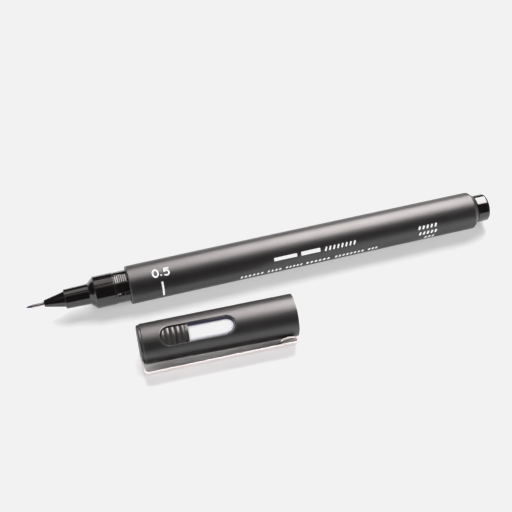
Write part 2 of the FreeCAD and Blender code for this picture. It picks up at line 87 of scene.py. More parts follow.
def soften(outline, closed=True):
    """Round the corners of an outline of (x, r, rounding). Gives rows of (x, r, wear)."""
    rows = []
    count = len(outline)
    for index, (x, r, rounding) in enumerate(outline):
        corner = Vector((x, r))
        ends = not closed and index in (0, count - 1)
        if rounding <= 0 or ends:
            rows.append((x, r, 0.0))
            continue
        before = Vector(outline[index - 1][:2]) - corner
        after = Vector(outline[(index + 1) % count][:2]) - corner
        half = before.angle(after) / 2
        shorter = min(before.length, after.length)
        reach = min(rounding / math.tan(half), MOST_REACH * shorter)
        radius = reach * math.tan(half)
        start = corner + before.normalized() * reach
        finish = corner + after.normalized() * reach
        bisector = (before.normalized() + after.normalized()).normalized()
        middle = corner + bisector * (radius / math.sin(half))
        steps = max(3, round(math.degrees(math.pi - 2 * half) / ARC_STEP))
        if before.length - reach > 2 * GUARD:
            rows.append((*(start + before.normalized() * GUARD), 0.0))
        for step in range(steps + 1):
            share = step / steps
            spoke = (start - middle).lerp(finish - middle, share)
            point = middle + spoke.normalized() * radius
            rows.append((point.x, point.y, 1.0))
        if after.length - reach > 2 * GUARD:
            rows.append((*(finish + after.normalized() * GUARD), 0.0))
    return rows


def turned(rows, turn=TURN, closed=True, bump=None, skip=None):
    """Turn rows of (x, r, wear) about X.
    bump(x, r, angle) gives a new radius, and skip(row, step) leaves a face out."""
    points, wear_and_shade, faces, first = [], [], [], []
    for x, r, worn_and_shaded in rows:
        first.append((len(points), r > ON_AXIS))
        steps = turn if r > ON_AXIS else 1
        for step in range(steps):
            angle = 2 * math.pi * step / turn
            radius = bump(x, r, angle) if bump else r
            points.append((x, radius * math.sin(angle), radius * math.cos(angle)))
            wear_and_shade.append(worn_and_shaded)
    last = len(rows) if closed else len(rows) - 1
    for row in range(last):
        (here, wide), (there, broad) = first[row], first[(row + 1) % len(rows)]
        for step in range(turn):
            after = (step + 1) % turn
            if skip and skip(row, step):
                continue
            if wide and broad:
                faces.append((here + step, here + after, there + after, there + step))
            elif wide:
                faces.append((here + step, here + after, there))
            elif broad:
                faces.append((here, there + after, there + step))
    return points, wear_and_shade, faces


def grid_solid(top, bottom, wear_and_shade):
    """Close two equal grids of points, rows of columns, into one solid."""
    rows, columns = len(top), len(top[0])
    points = [p for row in top for p in row] + [p for row in bottom for p in row]
    shade = [w for row in wear_and_shade for w in row]
    below = rows * columns
    faces = []
    for i in range(rows - 1):
        for j in range(columns - 1):
            k = i * columns + j
            faces.append((k, k + 1, k + columns + 1, k + columns))
            faces.append((below + k, below + k + columns, below + k + columns + 1, below + k + 1))
    rim = list(range(columns))
    rim += [i * columns + columns - 1 for i in range(1, rows)]
    rim += [(rows - 1) * columns + j for j in range(columns - 2, -1, -1)]
    rim += [i * columns for i in range(rows - 2, 0, -1)]
    for k, here in enumerate(rim):
        there = rim[(k + 1) % len(rim)]
        faces.append((here, below + here, below + there, there))
    # the bottom takes the top's values, so the pane's sides carry its painted shade as well
    return points, shade + shade, faces


def joined(*parts):
    """Several (points, scuffing and painted shade, faces) as one."""
    points, wear_and_shade, faces = [], [], []
    for some_points, some_wear, some_faces in parts:
        start = len(points)
        points += some_points
        wear_and_shade += some_wear
        faces += [tuple(start + k for k in face) for face in some_faces]
    return points, wear_and_shade, faces


def new_object(name, part, place, merge=1e-4):
    """An object from (points, scuffing and painted shade, faces) in mm, moved from its local frame
    by place.
    """
    points, wear_and_shade, faces = part
    mesh = bpy.data.meshes.new(name)
    mesh.from_pydata(points, [], faces)
    # the attribute holds scuffed corners, and painted shade along the window pane's edges
    worn_and_shaded = mesh.attributes.new("wear_and_shade", "FLOAT", "POINT")
    worn_and_shaded.data.foreach_set("value", wear_and_shade)
    build = bmesh.new()
    build.from_mesh(mesh)
    bmesh.ops.remove_doubles(build, verts=build.verts, dist=merge)
    bmesh.ops.dissolve_degenerate(build, edges=build.edges, dist=merge / 10)
    bmesh.ops.recalc_face_normals(build, faces=build.faces)
    build.to_mesh(mesh)
    build.free()
    mesh.transform(place)
    thing = bpy.data.objects.new(name, mesh)
    bpy.context.scene.collection.objects.link(thing)
    return thing


def combine(thing, other, operation):
    """Exact union or difference with another object, which is then removed."""
    modifier = thing.modifiers.new(operation.lower(), "BOOLEAN")
    modifier.operation = operation
    modifier.solver = "EXACT"
    modifier.object = other
    graph = bpy.context.evaluated_depsgraph_get()
    mesh = bpy.data.meshes.new_from_object(thing.evaluated_get(graph))
    thing.modifiers.clear()
    thing.data = mesh
    bpy.data.objects.remove(other)


SHARP_ANGLE = 32.0  # degrees between two faces that meet in a sharp edge


def finish_piece(thing, body, material, nodes=()):
    """Shade a piece, give it its material, and let it ride on its body."""
    for polygon in thing.data.polygons:
        polygon.use_smooth = True
    thing.data.set_sharp_from_angle(angle=math.radians(SHARP_ANGLE))
    thing.data.materials.clear()
    thing.data.materials.append(material)
    weighted = thing.modifiers.new("normals", "WEIGHTED_NORMAL")
    weighted.keep_sharp = True
    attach(thing, body)
    if nodes:
        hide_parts(*nodes)


# Materials ---------------------------------------------------------------------------------------

def link(tree, source, target):
    tree.links.new(source, target)


def noise(tree, place, scale, detail, roughness=0.5):
    node = tree.nodes.new("ShaderNodeTexNoise")
    node.inputs["Scale"].default_value = scale
    node.inputs["Detail"].default_value = detail
    node.inputs["Roughness"].default_value = roughness
    link(tree, place, node.inputs["Vector"])
    return node.outputs["Fac"]


def mapped(tree, value, low, high, start=0.3, end=0.7):
    node = tree.nodes.new("ShaderNodeMapRange")
    node.inputs["From Min"].default_value = start
    node.inputs["From Max"].default_value = end
    node.inputs["To Min"].default_value = low
    node.inputs["To Max"].default_value = high
    link(tree, value, node.inputs["Value"])
    return node.outputs["Result"]


def arithmetic(tree, operation, first, second):
    node = tree.nodes.new("ShaderNodeMath")
    node.operation = operation
    for socket, value in zip(node.inputs, (first, second)):
        if isinstance(value, float):
            socket.default_value = value
        else:
            link(tree, value, socket)
    return node.outputs["Value"]


def mixed(tree, share, first, second):
    node = tree.nodes.new("ShaderNodeMix")
    node.data_type = "RGBA"
    link(tree, share, node.inputs["Factor"])
    for socket, colour in ((node.inputs[6], first), (node.inputs[7], second)):
        if isinstance(colour, tuple):
            socket.default_value = (*colour, 1.0)
        else:
            link(tree, colour, socket)
    return node.outputs[2]


SCRATCH_STRETCH = (0.03, 1.0, 1.0)
SCRATCH_TILT = (0.0, 0.0, 0.12)
SCRATCH_SCALE = 2600.0
FRACTAL = (4.0, 0.6)    # detail and roughness of the broad and the fine noise


def surface(name, light, dark, rough, spread, grain, depth, stretch=(1, 1, 1), worn_and_shaded=None,
            worn_rough=None, painted_shade_alpha=None, patchy=0.25, blotch=140.0, scratch=0.0, **fixed):
    """Procedural surface: blotched colour, grain in the bump and the roughness, and scuffed edges,
    which on the clear pane are painted shade along its edges instead. grain and blotch are noise
    scales per metre, depth is the grain's height in metres, scratch is the roughness that fine
    scratches add, and patchy is the least share of the scuffing or painted shade that shows."""
    material = bpy.data.materials.new(name)
    material.use_nodes = True
    tree = material.node_tree
    shader = tree.nodes["Principled BSDF"]
    for socket, value in fixed.items():
        shader.inputs[socket.replace("_", " ")].default_value = value
    where = tree.nodes.new("ShaderNodeTexCoord").outputs["Object"]
    along = tree.nodes.new("ShaderNodeMapping")
    along.inputs["Scale"].default_value = stretch
    link(tree, where, along.inputs["Vector"])
    broad = noise(tree, where, blotch, *FRACTAL)
    fine = noise(tree, along.outputs["Vector"], grain, *FRACTAL)
    colour = mixed(tree, mapped(tree, broad, 0.0, 1.0), dark, light)
    roughness = arithmetic(tree, "ADD", mapped(tree, fine, rough - spread, rough + spread),
                           mapped(tree, broad, -spread / 2, spread / 2))
    if scratch > 0:
        lines = tree.nodes.new("ShaderNodeMapping")
        lines.inputs["Scale"].default_value = SCRATCH_STRETCH
        lines.inputs["Rotation"].default_value = SCRATCH_TILT
        link(tree, where, lines.inputs["Vector"])
        streaks = noise(tree, lines.outputs["Vector"], SCRATCH_SCALE, 2.0)
        scored = mapped(tree, streaks, 0.0, scratch, 0.62, 0.75)
        roughness = arithmetic(tree, "ADD", roughness, scored)
    # scuffed edges get a lighter colour; on the clear pane this mix paints darker, opaque shade
    # along its edges
    if worn_and_shaded:
        edge = tree.nodes.new("ShaderNodeAttribute")
        edge.attribute_name = "wear_and_shade"
        patches = mapped(tree, broad, patchy, 1.0)
        rubbed_and_shaded = arithmetic(tree, "MULTIPLY", edge.outputs["Fac"], patches)
        colour = mixed(tree, rubbed_and_shaded, colour, worn_and_shaded)
        if worn_rough is not None:
            change = arithmetic(tree, "MULTIPLY", rubbed_and_shaded, worn_rough - rough)
            roughness = arithmetic(tree, "ADD", roughness, change)
        if painted_shade_alpha is not None:
            alpha = mapped(tree, rubbed_and_shaded, fixed["Alpha"], painted_shade_alpha, 0.0, 1.0)
            link(tree, alpha, shader.inputs["Alpha"])
    bump = tree.nodes.new("ShaderNodeBump")
    bump.inputs["Distance"].default_value = depth
    bump.inputs["Strength"].default_value = 1.0
    link(tree, fine, bump.inputs["Height"])
    link(tree, colour, shader.inputs["Base Color"])
    link(tree, roughness, shader.inputs["Roughness"])
    link(tree, bump.outputs["Normal"], shader.inputs["Normal"])
    return material


charcoal = surface(
    "charcoal_plastic", (0.0075, 0.0066, 0.0068), (0.0052, 0.0046, 0.0049), 0.43, 0.03, 9000.0,
    1.5e-6, worn_and_shaded=(0.05, 0.047, 0.047), worn_rough=0.27, scratch=0.05, Specular_IOR_Level=0.95)
gloss_black = surface(
    "gloss_black", (0.005, 0.0042, 0.0043), (0.0034, 0.0029, 0.0031), 0.14, 0.02, 5000.0, 3e-7,
    worn_and_shaded=(0.018, 0.016, 0.016), worn_rough=0.2, scratch=0.05, Specular_IOR_Level=0.6,
    Coat_Weight=0.5, Coat_Roughness=0.06)
crown_plastic = surface(
    "crown_plastic", (0.008, 0.0075, 0.0077), (0.0055, 0.005, 0.0052), 0.55, 0.03, 8000.0, 8e-7,
    worn_and_shaded=(0.03, 0.027, 0.027), worn_rough=0.24, patchy=0.7, Specular_IOR_Level=0.8)
sleeve_steel = surface(
    "sleeve_steel", (0.46, 0.44, 0.45), (0.38, 0.36, 0.37), 0.2, 0.05, 14000.0, 4e-7,
    stretch=(0.05, 1, 1), worn_and_shaded=(0.6, 0.58, 0.58), worn_rough=0.15, Metallic=1.0)
clip_steel = surface(
    "clip_steel", (0.95, 0.88, 0.875), (0.88, 0.81, 0.81), 0.24, 0.05, 9000.0, 5e-7,
    stretch=(0.06, 1, 1), worn_and_shaded=(1.0, 0.94, 0.935), worn_rough=0.7, patchy=0.6, scratch=0.08,
    Metallic=1.0)
nib_fibre = surface(
    "nib_fibre", (0.03, 0.03, 0.07), (0.012, 0.012, 0.03), 0.5, 0.08, 22000.0, 6e-6,
    stretch=(0.15, 1, 1), worn_and_shaded=(0.06, 0.06, 0.12), worn_rough=0.6)
wick_fibre = surface(
    "wick_fibre", (0.05, 0.05, 0.06), (0.02, 0.02, 0.026), 0.75, 0.08, 14000.0, 1e-5,
    stretch=(0.1, 1, 1))
reservoir_fibre = surface(
    "reservoir_fibre", (0.035, 0.035, 0.042), (0.015, 0.015, 0.02), 0.85, 0.06, 9000.0, 2e-5,
    stretch=(0.08, 1, 1))
film = surface(
    "film", (0.8, 0.8, 0.82), (0.72, 0.72, 0.75), 0.15, 0.05, 2500.0, 1e-6, Alpha=0.5)
liner_white = surface(
    "liner_white", (0.62, 0.62, 0.625), (0.58, 0.58, 0.59), 0.38, 0.05, 4000.0, 1e-6,
    worn_and_shaded=(0.68, 0.68, 0.68), worn_rough=0.3)
# on the clear pane the dark navy edge colour is painted shade, and the pane turns opaque where it
# is painted
clear_plastic = surface(
    "clear_plastic", (0.9, 0.9, 0.93), (0.84, 0.84, 0.88), 0.06, 0.02, 2500.0, 2e-7,
    worn_and_shaded=(0.016, 0.015, 0.03), painted_shade_alpha=1.0, patchy=1.0, Alpha=0.1, Specular_IOR_Level=0.3)
print_white = surface(
    "print_white", (0.86, 0.85, 0.86), (0.74, 0.73, 0.75), 0.55, 0.06, 12000.0, 1e-6, blotch=900.0)

# Pen ---------------------------------------------------------------------------------------------

# Rows of an outline are (x, r, rounding). Their wear shows on the rounded corners.
BARREL_FRONT = 27.7
BARREL_REAR = 129.6
BARREL_R = 5.3
BARREL_BORE = 4.55
TAIL_HOLE = 3.42
TAIL_WALL_FRONT = 127.4

barrel = new_object("barrel_tube", turned(soften([
    (BARREL_FRONT, BARREL_BORE, 0.06),
    (BARREL_FRONT, BARREL_R, 0.3),
    (128.35, BARREL_R, 0.12),
    (BARREL_REAR, 4.25, 0.08),
    (BARREL_REAR, TAIL_HOLE, 0.05),
    (TAIL_WALL_FRONT, TAIL_HOLE, 0.05),
    (TAIL_WALL_FRONT, BARREL_BORE, 0.0),
])), PEN)
finish_piece(barrel, "pen", charcoal, ["barrel"])

PEN_LENGTH = 133.6
PLUG_FRONT = 121.6
PLUG_R = 3.95
PLUG_BORE = 2.5
PLUG_STEM_R = 3.4
PLUG_NECK_R = 3.65

plug = new_object("tail_plug_body", turned(soften([
    (PLUG_FRONT, PLUG_BORE, 0.08),
    (PLUG_FRONT, PLUG_STEM_R, 0.1),
    (BARREL_REAR, PLUG_STEM_R, 0.0),
    (BARREL_REAR, PLUG_NECK_R, 0.03),
    (129.9, PLUG_NECK_R, 0.03),
    (129.9, PLUG_R, 0.1),
    (133.52, PLUG_R, 0.72),
    (PEN_LENGTH, 2.2, 0.9),
    (PEN_LENGTH, 0.0, 0.0),
    (132.2, 0.0, 0.0),
    (132.2, PLUG_BORE, 0.2),
])), PEN)
finish_piece(plug, "pen", gloss_black, ["tail_plug"])

NECK_FRONT = 10.3
COLLAR_R = 4.45
COLLAR_REAR = 23.9
SEAM_R = 4.2
SHANK_R = 4.36
INSERT_REAR = 36.0
LUG_COUNT = 4
LUG_START = 24.25
LUG_LENGTH = 1.7
LUG_HEIGHT = 0.24
LUG_HALF = 0.75
LUG_TURN = 15.0
LUG_SIDE_RAMP = 0.09
FRONT_RAMP = 0.08   # length of the steep front of a lug, and of a vent
RING_COUNT = 6      # fine rings round the shank
DEEP_RINGS = 2
RING_PITCH = 0.54
RING_DEPTH = 0.045
SHALLOW = 0.3       # share of the depth that the other rings have
RING_STEPS = 8


def angle_off(angle, middle, count):
    """Signed distance in degrees from an angle in radians to the nearest of count marks."""
    step = 360.0 / count
    return (math.degrees(angle) - middle + step / 2) % step - step / 2


def clamped(share):
    return min(1.0, max(0.0, share))


def with_lugs(x, r, angle):
    """Radius with the snap lugs, which are steep in front and slope down behind."""
    ahead = (x - LUG_START) / LUG_LENGTH
    if not -1e-6 <= ahead <= 1 or abs(r - SHANK_R) > 1.01 * RING_DEPTH:
        return r
    across = abs(math.radians(angle_off(angle, LUG_TURN, LUG_COUNT))) * SHANK_R
    side = clamped((LUG_HALF - across) / LUG_SIDE_RAMP)
    front = clamped(ahead * LUG_LENGTH / FRONT_RAMP)
    return r + side * front * LUG_HEIGHT * (1 - ahead)


section_rows = soften([
    (NECK_FRONT, 1.95, 0.0),
    (NECK_FRONT, 2.68, 0.15),
    (16.9, 2.85, 0.12),
    (17.2, 3.15, 0.25),
    (18.35, 4.22, 0.12),
    (18.55, COLLAR_R, 0.16),
    (COLLAR_REAR, COLLAR_R, 0.1),
    (COLLAR_REAR, SEAM_R, 0.03),
    (24.2, SEAM_R, 0.03),
    (24.2, SHANK_R, 0.03),
])
for step in range(RING_COUNT * RING_STEPS + 1):
    depth = RING_DEPTH if step < DEEP_RINGS * RING_STEPS else SHALLOW * RING_DEPTH
    groove = depth * (0.5 - 0.5 * math.cos(2 * math.pi * step / RING_STEPS))
    section_rows.append((LUG_START + step * RING_PITCH / RING_STEPS, SHANK_R - groove, 0.0))
section_rows += soften([
    (28.0, SHANK_R, 0.0),
    (28.0, 4.53, 0.0),
    (INSERT_REAR, 4.53, 0.15),
    (INSERT_REAR, 3.5, 0.08),
    (20.5, 3.5, 0.1),
    (20.5, 1.95, 0.05),
], closed=False)
section = new_object("grip_section", turned(section_rows, FINE_TURN, bump=with_lugs), PEN, 2e-5)
finish_piece(section, "pen", gloss_black, ["front_section"])

VENT_COUNT = 2
VENT_HALF = 0.3
VENT_FLOOR = 1.7
VENT_START = 9.15
VENT_TURN = 69.0
VENT_R = 2.0
VENT_SIDE_RAMP = 0.06


def with_vents(x, r, angle):
    """Radius with the vent notches, which are open towards the neck."""
    if x < VENT_START or x > NECK_FRONT or r < 1.2:
        return r
    across = abs(math.radians(angle_off(angle, 90.0 - VENT_TURN, VENT_COUNT))) * VENT_R
    side = clamped((VENT_HALF + 0.03 - across) / VENT_SIDE_RAMP)
    front = clamped((x - VENT_START) / FRONT_RAMP)
    return r + side * front * (VENT_FLOOR - r)


CONE_FRONT = 4.75
CONE_REAR = 15.0
CONE_BORE = 0.53
CONE_STEM_R = 1.9
NOTCHED_FRONT = 9.05    # the rows of the notched stretch are close together
NOTCHED_LENGTH = 1.25
NOTCHED_R = 1.88
NOTCHED_RISE = 0.27
CONE_ROWS = 26
cone_rows = soften([
    (10.42, CONE_STEM_R, 0.0),
    (CONE_REAR, CONE_STEM_R, 0.1),
    (CONE_REAR, CONE_BORE, 0.05),
    (CONE_FRONT, CONE_BORE, 0.04),
    (CONE_FRONT, 0.95, 0.16),
    (NOTCHED_FRONT, NOTCHED_R, 0.0),
], closed=False)
cone_rows += [
    (NOTCHED_FRONT + k * NOTCHED_LENGTH / CONE_ROWS, NOTCHED_R + k * NOTCHED_RISE / CONE_ROWS, 0.0)
    for k in range(1, CONE_ROWS + 1)
]
cone_rows += [(10.34, 2.15, 0.0), (10.42, 2.1, 0.0)]
cone = new_object("nose_cone_body", turned(cone_rows, FINE_TURN, bump=with_vents), PEN, 2e-5)
finish_piece(cone, "pen", gloss_black, ["nose_cone"])

NIB_OUT = 1.6
NIB_REAR = 11.6
SLEEVE_REAR = 11.9
SLEEVE_R = 0.5
SLEEVE_BORE = 0.38
THIN_TURN = 96      # steps round the nib and its sleeve

sleeve = new_object("nib_sleeve_tube", turned(soften([
    (NIB_OUT, SLEEVE_BORE, 0.02),
    (NIB_OUT, SLEEVE_R, 0.07),
    (SLEEVE_REAR, SLEEVE_R, 0.04),
    (SLEEVE_REAR, SLEEVE_BORE, 0.02),
]), THIN_TURN), PEN)
finish_piece(sleeve, "pen", sleeve_steel, ["nib_sleeve"])

nib = new_object("nib_point", turned(soften([
    (0.0, 0.0, 0.0),
    (0.02, 0.16, 0.14),
    (0.62, 0.34, 0.5),
    (NIB_OUT, 0.362, 0.0),
    (NIB_REAR, 0.36, 0.03),
    (NIB_REAR, 0.0, 0.0),
], closed=False), THIN_TURN, closed=False), PEN)
finish_piece(nib, "pen", nib_fibre, ["nib"])

# Printed marks -----------------------------------------------------------------------------------

# The pen's size mark with its bar, and plain dashes.
INK_R = BARREL_R + 0.012
UNDER_R = BARREL_R - 0.01
ACROSS = 4          # columns across a printed stroke
MOST_MITRE = 1.6
DENSE_STEP = 0.12   # mm between the points along a stroke
TICK_LEAN = 0.18    # half the lean of a tick, as a share of its height


def on_barrel(x, arc, radius):
    """arc is the distance round the barrel, in mm, up from the side that faces the cap."""
    turn = arc / BARREL_R
    return (x, -radius * math.cos(turn), radius * math.sin(turn))


def stroke(line, width, closed=False):
    """One printed stroke of constant width along a line of (x, arc) points."""
    points = [Vector(p) for p in line]
    count = len(points)
    top, bottom = [], []
    for index, here in enumerate(points):
        if closed:
            before, after = points[index - 1], points[(index + 1) % count]
        else:
            before, after = points[max(index - 1, 0)], points[min(index + 1, count - 1)]
        into, out = (here - before).normalized(), (after - here).normalized()
        into = into if (here - before).length > 0 else out
        out = out if (after - here).length > 0 else into
        side = Vector((-(into + out).y, (into + out).x)).normalized()
        mitre = min(MOST_MITRE, 1 / max(0.3, side.dot(Vector((-into.y, into.x)))))
        row = [here + side * mitre * width * (k / ACROSS - 0.5) for k in range(ACROSS + 1)]
        top.append([on_barrel(p.x, p.y, INK_R) for p in row])
        bottom.append([on_barrel(p.x, p.y, UNDER_R) for p in row])
    if closed:
        top.append(top[0])
        bottom.append(bottom[0])
    return grid_solid(top, bottom, [[0.0] * (ACROSS + 1)] * len(top))


def dense(line):
    """The same line with points close together."""
    points = [Vector(line[0])]
    for target in line[1:]:
        start = points[-1].copy()
        count = max(1, math.ceil((Vector(target) - start).length / DENSE_STEP))
        points += [start.lerp(Vector(target), k / count) for k in range(1, count + 1)]
    return points


def arc_line(middle, radii, start, end, steps):
    """Points of an ellipse's arc between two angles in degrees."""
    angles = [math.radians(start + (end - start) * k / steps) for k in range(steps + 1)]
    return [(middle[0] + radii[0] * math.cos(a), middle[1] + radii[1] * math.sin(a))
            for a in angles]


def mark(name, strokes):
    finish_piece(new_object(name, joined(*strokes), PEN, 1e-5), "pen", print_white)


zero = arc_line((35.15, 6.1), (0.72, 1.0), 0, 360, 48)[:-1]
five = [(38.95, 6.98), (37.72, 6.98), (37.62, 6.08)]
five_bowl = arc_line((38.15, 5.72), (0.68, 0.68), 140, -150, 30)
mark("size_mark", [
    stroke(zero, 0.42, closed=True),
    stroke(dense([(36.42, 5.32), (36.78, 5.32)]), 0.4),
    stroke(dense(five), 0.38),
    stroke(five_bowl, 0.38),
])
mark("size_bar", [stroke(dense([(36.5, 3.52), (36.5, -1.3)]), 0.5)])


def ticks(start, end, arc, height, count, width):
    """A row of plain leaning ticks. width is a tick's share of the pitch."""
    pitch = (end - start) / count
    lean = TICK_LEAN * height
    rows = []
    for index in range(count):
        x = start + (index + 0.5) * pitch
        line = [(x - lean, arc - height / 2), (x + lean, arc + height / 2)]
        rows.append(stroke(dense(line), width * pitch))
    return rows


mark("wide_dashes", [
    stroke(dense([(67.95, 2.72), (74.55, 2.72)]), 0.95),
    stroke(dense([(75.8, 2.72), (81.3, 2.72)]), 1.1),
])
mark("thin_dashes", ticks(82.4, 92.0, 2.6, 1.15, 8, 0.36))
NOTE_PITCH = 1.15
NOTE_ARC = -1.12
NOTE_GROUPS = ((57.9, 64.9), (65.7, 70.1), (71.0, 76.2), (76.9, 84.3), (85.4, 94.4), (95.3, 98.5))
TAIL_PITCH = 1.2
TAIL_ROWS = ((110.3, 116.4, 2.55), (110.5, 116.4, 0.62), (112.4, 115.8, -1.4))
mark("note_dashes", [
    row for start, end in NOTE_GROUPS
    for row in ticks(start, end, NOTE_ARC, 0.85, max(3, round((end - start) / NOTE_PITCH)), 0.5)
])
mark("tail_dashes", [
    row for start, end, arc in TAIL_ROWS
    for row in ticks(start, end, arc, 1.0, max(3, round((end - start) / TAIL_PITCH)), 0.42)
])

# Cap ---------------------------------------------------------------------------------------------

CAP_LENGTH = 41.8
SHELL_FRONT = 0.75
SHELL_FRONT_R = 5.37
SHELL_MOUTH_R = 5.72
TAPER_FRONT = 0.97
TAPER_REAR = 41.68
SHELL_BORE = 4.8
MOUTH_BORE = 5.37
MOUTH_STEP = 35.5   # where the mouth's bore meets the shell's
SLOT_FRONT = 5.5
SLOT_REAR = 25.1
SLOT_HALF = 2.42
SLOT_LIP = 0.3      # rounding of the slot's outer edge
SHELL_ROWS = 26
PATCH_FRONT = 2.6
PATCH_REAR = 28.0
PATCH_HALF = 26     # steps of the turn on each side of the window


def shell_r(x):
    """The shell flares from its closed end to its mouth."""
    share = (x - TAPER_FRONT) / (TAPER_REAR - TAPER_FRONT)
    return SHELL_FRONT_R + (SHELL_MOUTH_R - SHELL_FRONT_R) * share


def slot_edge(offset):
    """The slot's outline as (x, y), as many points as the patch's rim, moved outward by offset."""
    half = SLOT_HALF + offset
    front = SLOT_FRONT + SLOT_HALF
    rear = SLOT_REAR - SLOT_HALF
    sweep = 2 * PATCH_HALF
    line = [(front + (rear - front) * k / SHELL_ROWS, -half) for k in range(SHELL_ROWS)]
    for k in range(sweep):
        angle = math.pi * k / sweep
        line.append((rear + half * math.sin(angle), -half * math.cos(angle)))
    line += [(rear - (rear - front) * k / SHELL_ROWS, half) for k in range(SHELL_ROWS)]
    for k in range(sweep):
        angle = math.pi * k / sweep
        line.append((front - half * math.sin(angle), half * math.cos(angle)))
    return line


def bore_r(x):
    return SHELL_BORE


def shell_part():
    """The turned shell. Rings that follow the slot fill the patch left out round it."""
    patch = [PATCH_FRONT + (PATCH_REAR - PATCH_FRONT) * k / SHELL_ROWS
             for k in range(SHELL_ROWS + 1)]
    head = soften([
        (MOUTH_STEP, SHELL_BORE, 0.0),
        (SHELL_FRONT, SHELL_BORE, 0.04),
        (SHELL_FRONT, shell_r(SHELL_FRONT), 0.22),
        (CAP_LENGTH, shell_r(CAP_LENGTH), 0.0),
    ], closed=False)[1:-1]
    tail = soften([
        (SHELL_FRONT, shell_r(SHELL_FRONT), 0.0),
        (CAP_LENGTH, shell_r(CAP_LENGTH), 0.13),
        (CAP_LENGTH, MOUTH_BORE, 0.05),
        (MOUTH_STEP, MOUTH_BORE, 0.04),
        (MOUTH_STEP, SHELL_BORE, 0.04),
        (SHELL_FRONT, SHELL_BORE, 0.0),
    ], closed=False)[1:-1]
    outer_start = len(head)
    rows = head + [(x, shell_r(x), 0.0) for x in patch] + tail
    inner_start = len(rows)
    rows += [(x, SHELL_BORE, 0.0) for x in reversed(patch)]

    def skip(row, step):
        around = min(step, TURN - 1 - step) < PATCH_HALF
        outer = outer_start <= row < outer_start + SHELL_ROWS
        inner = inner_start <= row < inner_start + SHELL_ROWS
        return around and (outer or inner)

    points, wear_and_shade, faces = turned(rows, TURN, skip=skip)

    def rim(first, backwards):
        """Indices of the patch's rim, in the order of slot_edge."""
        def at(k, step):
            row = first + (SHELL_ROWS - k if backwards else k)
            return row * TURN + (-step) % TURN
        sweep = 2 * PATCH_HALF
        found = [at(k, PATCH_HALF) for k in range(SHELL_ROWS)]
        found += [at(SHELL_ROWS, PATCH_HALF - k) for k in range(sweep)]
        found += [at(SHELL_ROWS - k, -PATCH_HALF) for k in range(SHELL_ROWS)]
        found += [at(0, k - PATCH_HALF) for k in range(sweep)]
        return found

    def add_ring(line, radius_at, drop, worn_and_shaded):
        start = len(points)
        for x, y in line:
            radius = radius_at(x) - drop
            points.append((x, y, math.sqrt(radius * radius - y * y)))
            wear_and_shade.append(worn_and_shaded)
        return list(range(start, len(points)))

    def blend_rings(edge, border, radius_at):
        """Two rings between a slot ring and the patch's rim, spread over angle and length."""
        rings = []
        for share in (0.3, 0.64):
            start = len(points)
            for near, far in zip(edge, border):
                a, b = points[near], points[far]
                x = a[0] + (b[0] - a[0]) * share
                radius = radius_at(x)
                angle = math.atan2(a[1], a[2]) * (1 - share) + math.atan2(b[1], b[2]) * share
                points.append((x, radius * math.sin(angle), radius * math.cos(angle)))
                wear_and_shade.append(0.0)
            rings.append(list(range(start, len(points))))
        return rings

    def stitch(ring, other):
        for k in range(len(ring)):
            after = (k + 1) % len(ring)
            faces.append((ring[k], ring[after], other[after], other[k]))

    outer = []
    for degrees in (0, 22.5, 45, 67.5, 90):
        angle = math.radians(degrees)
        edge = slot_edge(SLOT_LIP * (1 - math.cos(angle)))
        outer.append(add_ring(edge, shell_r, SLOT_LIP * (1 - math.sin(angle)), 1.0))
    outer.append(add_ring(slot_edge(SLOT_LIP + 0.15), shell_r, 0.0, 0.0))
    border = rim(outer_start, False)
    outer += blend_rings(outer[-1], border, shell_r) + [border]
    inner = [add_ring(slot_edge(offset), bore_r, 0.0, 0.0) for offset in (0.0, 0.3)]
    border = rim(inner_start, True)
    inner += blend_rings(inner[-1], border, bore_r) + [border]
    rings = list(reversed(inner)) + outer
    for ring, other in zip(rings, rings[1:]):
        stitch(ring, other)
    return points, wear_and_shade, faces


shell = new_object("cap_shell_tube", shell_part(), CAP, 1e-5)
finish_piece(shell, "cap", charcoal, ["cap_shell"])

FILL_HALF = 2.35
FILL_COLUMNS = 40
END_STEPS = 18      # stations round a filler's rounded end
END_GAP = 0.3       # the even stations stay this far from the end
LEAST_HALF = 0.02   # a rounded end's last station keeps some width
RIB_PITCH = 1.36
RIB_FIRST = 6.12
RIB_COUNT = 5
RIB_TOP = 5.2
RIB_FLOOR = 4.88
RIB_HALF = 0.47 * RIB_PITCH
RIB_FULLNESS = 0.8  # below 1, a rib is fuller than an ellipse
UPPER_SLOPE = 0.6   # width of a rib's slope at the slot's upper side
LOWER_SLOPE = 0.28
CROWN_R = 5.12
CROWN_REAR = 12.9
CROWN_BOSS = 4.75
CROWN_BORE = 3.0
CROWN_WALL = 3.2


def fill_rows(start, end, round_front, round_rear, step):
    """Stations along a filler of the slot: (x, half width)."""
    stations = []
    front = start + FILL_HALF if round_front else start
    rear = end - FILL_HALF if round_rear else end
    reaches = [FILL_HALF * math.cos(math.radians(90 * k / END_STEPS)) for k in range(END_STEPS)]
    xs = {round(x, 4) for x in np.arange(front, rear + 1e-6, step)} | {front, rear}
    if round_front:
        xs |= {round(front - reach, 4) for reach in reaches}
        xs |= {round(x, 4) for x in np.arange(start + END_GAP, front, step)}
    if round_rear:
        xs |= {round(rear + reach, 4) for reach in reaches}
        xs |= {round(x, 4) for x in np.arange(rear, end - END_GAP, step)}
    for x in sorted(xs):
        short = front - x if x < front else x - rear if x > rear else 0.0
        stations.append((x, math.sqrt(max(FILL_HALF ** 2 - short ** 2, LEAST_HALF ** 2))))
    return stations


